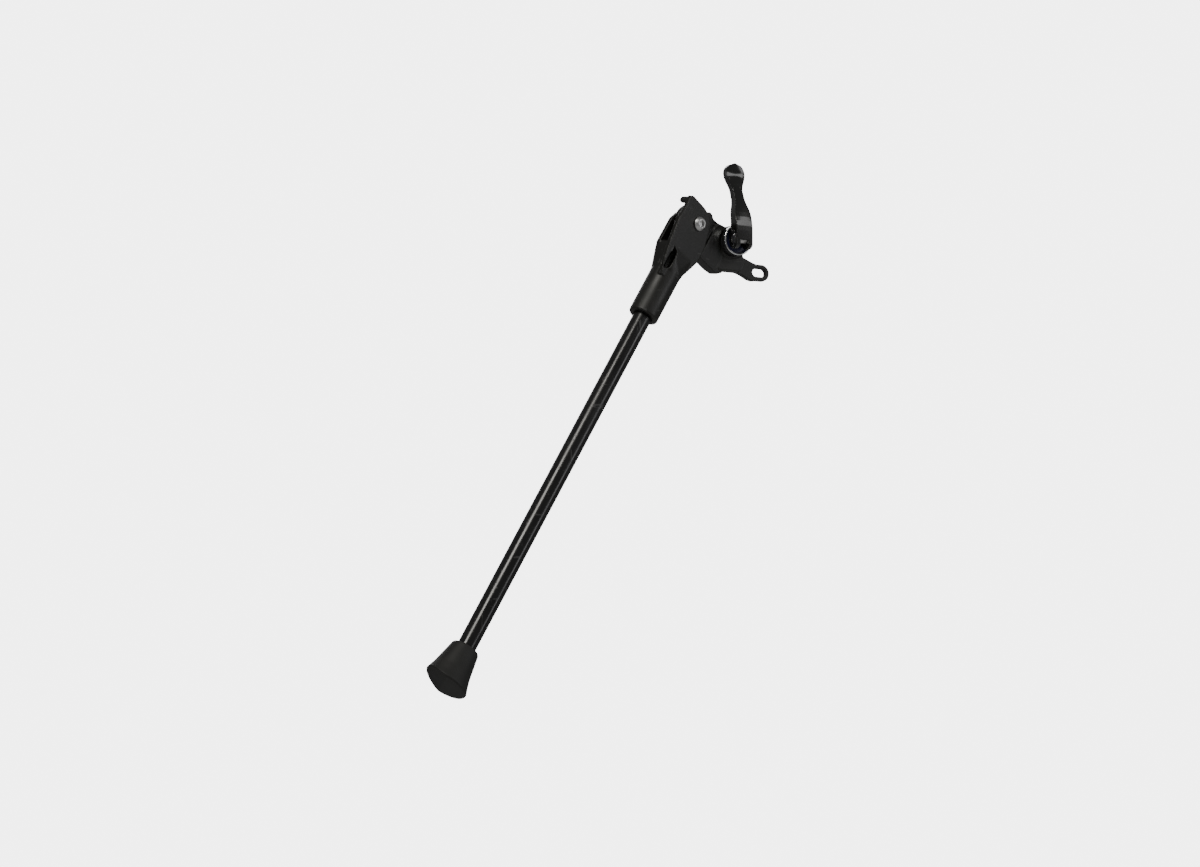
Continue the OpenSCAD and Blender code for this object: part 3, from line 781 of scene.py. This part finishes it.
class STAND_OT_stage(bpy.types.Operator):
    """Adds the pale floor, the soft lights, the plain world and the camera"""
    bl_idname = "stand.stage"
    bl_label = "Stage"

    def execute(self, context):
        stage = context.scene.stand_stage
        floor_material, tree, shader, place = new_material("stage_floor")
        tone = noise(tree, place, 3, 3, 0.5)
        paint = blend_color(tree, tone.outputs["Fac"], (0.82, 0.82, 0.82, 1), (0.86, 0.86, 0.86, 1))
        tree.links.new(paint, shader.inputs["Base Color"])
        shader.inputs["Roughness"].default_value = 0.9
        # the floor looks as pale as the world behind it, and lights nothing
        seen = tree.nodes.new("ShaderNodeLightPath")
        shader.inputs["Emission Color"].default_value = (0.9, 0.9, 0.9, 1)
        tree.links.new(maths(tree, "MULTIPLY", seen.outputs["Is Camera Ray"], FLOOR_SEEN),
                       shader.inputs["Emission Strength"])
        clear = tree.nodes.new("ShaderNodeBsdfTransparent")
        side = tree.nodes.new("ShaderNodeNewGeometry")
        mixed = tree.nodes.new("ShaderNodeMixShader")
        tree.links.new(side.outputs["Backfacing"], mixed.inputs[0])
        tree.links.new(shader.outputs[0], mixed.inputs[1])
        tree.links.new(clear.outputs[0], mixed.inputs[2])
        output = next(n for n in tree.nodes if n.type == "OUTPUT_MATERIAL")
        tree.links.new(mixed.outputs[0], output.inputs[0])

        disc = bmesh.new()
        bmesh.ops.create_circle(disc, cap_ends=True, segments=96, radius=FLOOR_RADIUS)
        bmesh.ops.translate(disc, verts=disc.verts, vec=(0, 0, FLOOR_Z))
        floor_mesh = to_mesh(disc, "stage_floor")
        floor_mesh.materials.append(floor_material)
        floor = bpy.data.objects.new("stage_floor", floor_mesh)
        context.collection.objects.link(floor)

        world = bpy.data.worlds.new("studio")
        context.scene.world = world
        world.use_nodes = True
        sky = world.node_tree
        sky.nodes.clear()
        path = sky.nodes.new("ShaderNodeLightPath")
        strength = node(sky, "ShaderNodeMapRange", [
            ("Value", path.outputs["Is Camera Ray"]), ("To Min", WORLD_LIGHT),
            ("To Max", WORLD_SEEN)])
        glow = node(sky, "ShaderNodeBackground", [("Strength", strength.outputs[0])])
        glow.inputs["Color"].default_value = (1, 1, 1, 1)
        out = sky.nodes.new("ShaderNodeOutputWorld")
        sky.links.new(glow.outputs[0], out.inputs[0])

        area_light("key", (-1.3, -1.1, 1.3), (-0.05, 0, -0.02), (0.7, 0.7), 20, (1, 0.98, 0.92))
        area_light("rod_strip", (-1.9, -1.0, 0.3), (-0.08, 0, -0.15), (0.035, 1.8), 2)
        area_light("lever_band", (0.92, -1.45, 1.02), (0, -0.02, 0.03), (0.9, 0.5), 4)
        area_light("fill", (1.5, -1.5, 0.1), (-0.05, 0, -0.1), (0.5, 1.2), 5, (0.98, 0.98, 1))
        area_light("back", (0.4, 1.6, 0.9), (-0.05, 0, -0.05), (0.9, 0.9), 7)

        turn, lift = math.radians(stage.azimuth), math.radians(stage.elevation)
        level = math.cos(lift)
        back = Vector((math.sin(turn) * level, -math.cos(turn) * level, math.sin(lift)))
        right = Vector((math.cos(turn), math.sin(turn), 0))
        up = back.cross(right)
        target = AIM_RIGHT * right + AIM_UP * up
        data = bpy.data.cameras.new("camera")
        data.sensor_width = SENSOR
        data.lens = SENSOR * stage.distance / stage.metres_per_width
        data.clip_start, data.clip_end = 0.05, 60
        camera = bpy.data.objects.new("camera", data)
        camera.matrix_world = Matrix.Translation(target + back * stage.distance) @ Matrix(
            (right, up, back)).transposed().to_4x4()
        context.collection.objects.link(camera)
        context.scene.camera = camera
        return {"FINISHED"}


class STAND_PT_panel(bpy.types.Panel):
    """The stand's sizes, finish and build steps"""
    bl_idname = "STAND_PT_panel"
    bl_label = "Side Stand"
    bl_space_type = "VIEW_3D"
    bl_region_type = "UI"
    bl_category = "Side Stand"

    def draw(self, context):
        for group in (context.scene.stand_sizes, context.scene.stand_finish, context.scene.stand_stage):
            box = self.layout.box()
            for name in group.bl_rna.properties.keys():
                if name not in ("rna_type", "name"):
                    box.prop(group, name)
        for step in STEPS:
            self.layout.operator(step.bl_idname)


STEPS = (STAND_OT_materials, STAND_OT_castings, STAND_OT_lever, STAND_OT_clamp, STAND_OT_nut,
         STAND_OT_rod, STAND_OT_foot, STAND_OT_pivot, STAND_OT_plunger, STAND_OT_stage)
GROUPS_OF_PROPS = (("stand_sizes", StandSizes), ("stand_finish", StandFinish),
                   ("stand_stage", StandStage))


def register():
    for name, kind in GROUPS_OF_PROPS:
        bpy.utils.register_class(kind)
        setattr(bpy.types.Scene, name, bpy.props.PointerProperty(type=kind))
    for kind in STEPS + (STAND_PT_panel,):
        bpy.utils.register_class(kind)


def unregister():
    for kind in reversed(STEPS + (STAND_PT_panel,)):
        bpy.utils.unregister_class(kind)
    for name, kind in reversed(GROUPS_OF_PROPS):
        delattr(bpy.types.Scene, name)
        bpy.utils.unregister_class(kind)


def main():
    register()
    bpy.ops.stand.materials()
    bpy.ops.stand.castings()
    bpy.ops.stand.lever()
    bpy.ops.stand.clamp()
    bpy.ops.stand.nut()
    bpy.ops.stand.rod()
    bpy.ops.stand.foot()
    bpy.ops.stand.pivot()
    bpy.ops.stand.plunger()
    bpy.ops.stand.stage()


if __name__ == "__main__":
    main()
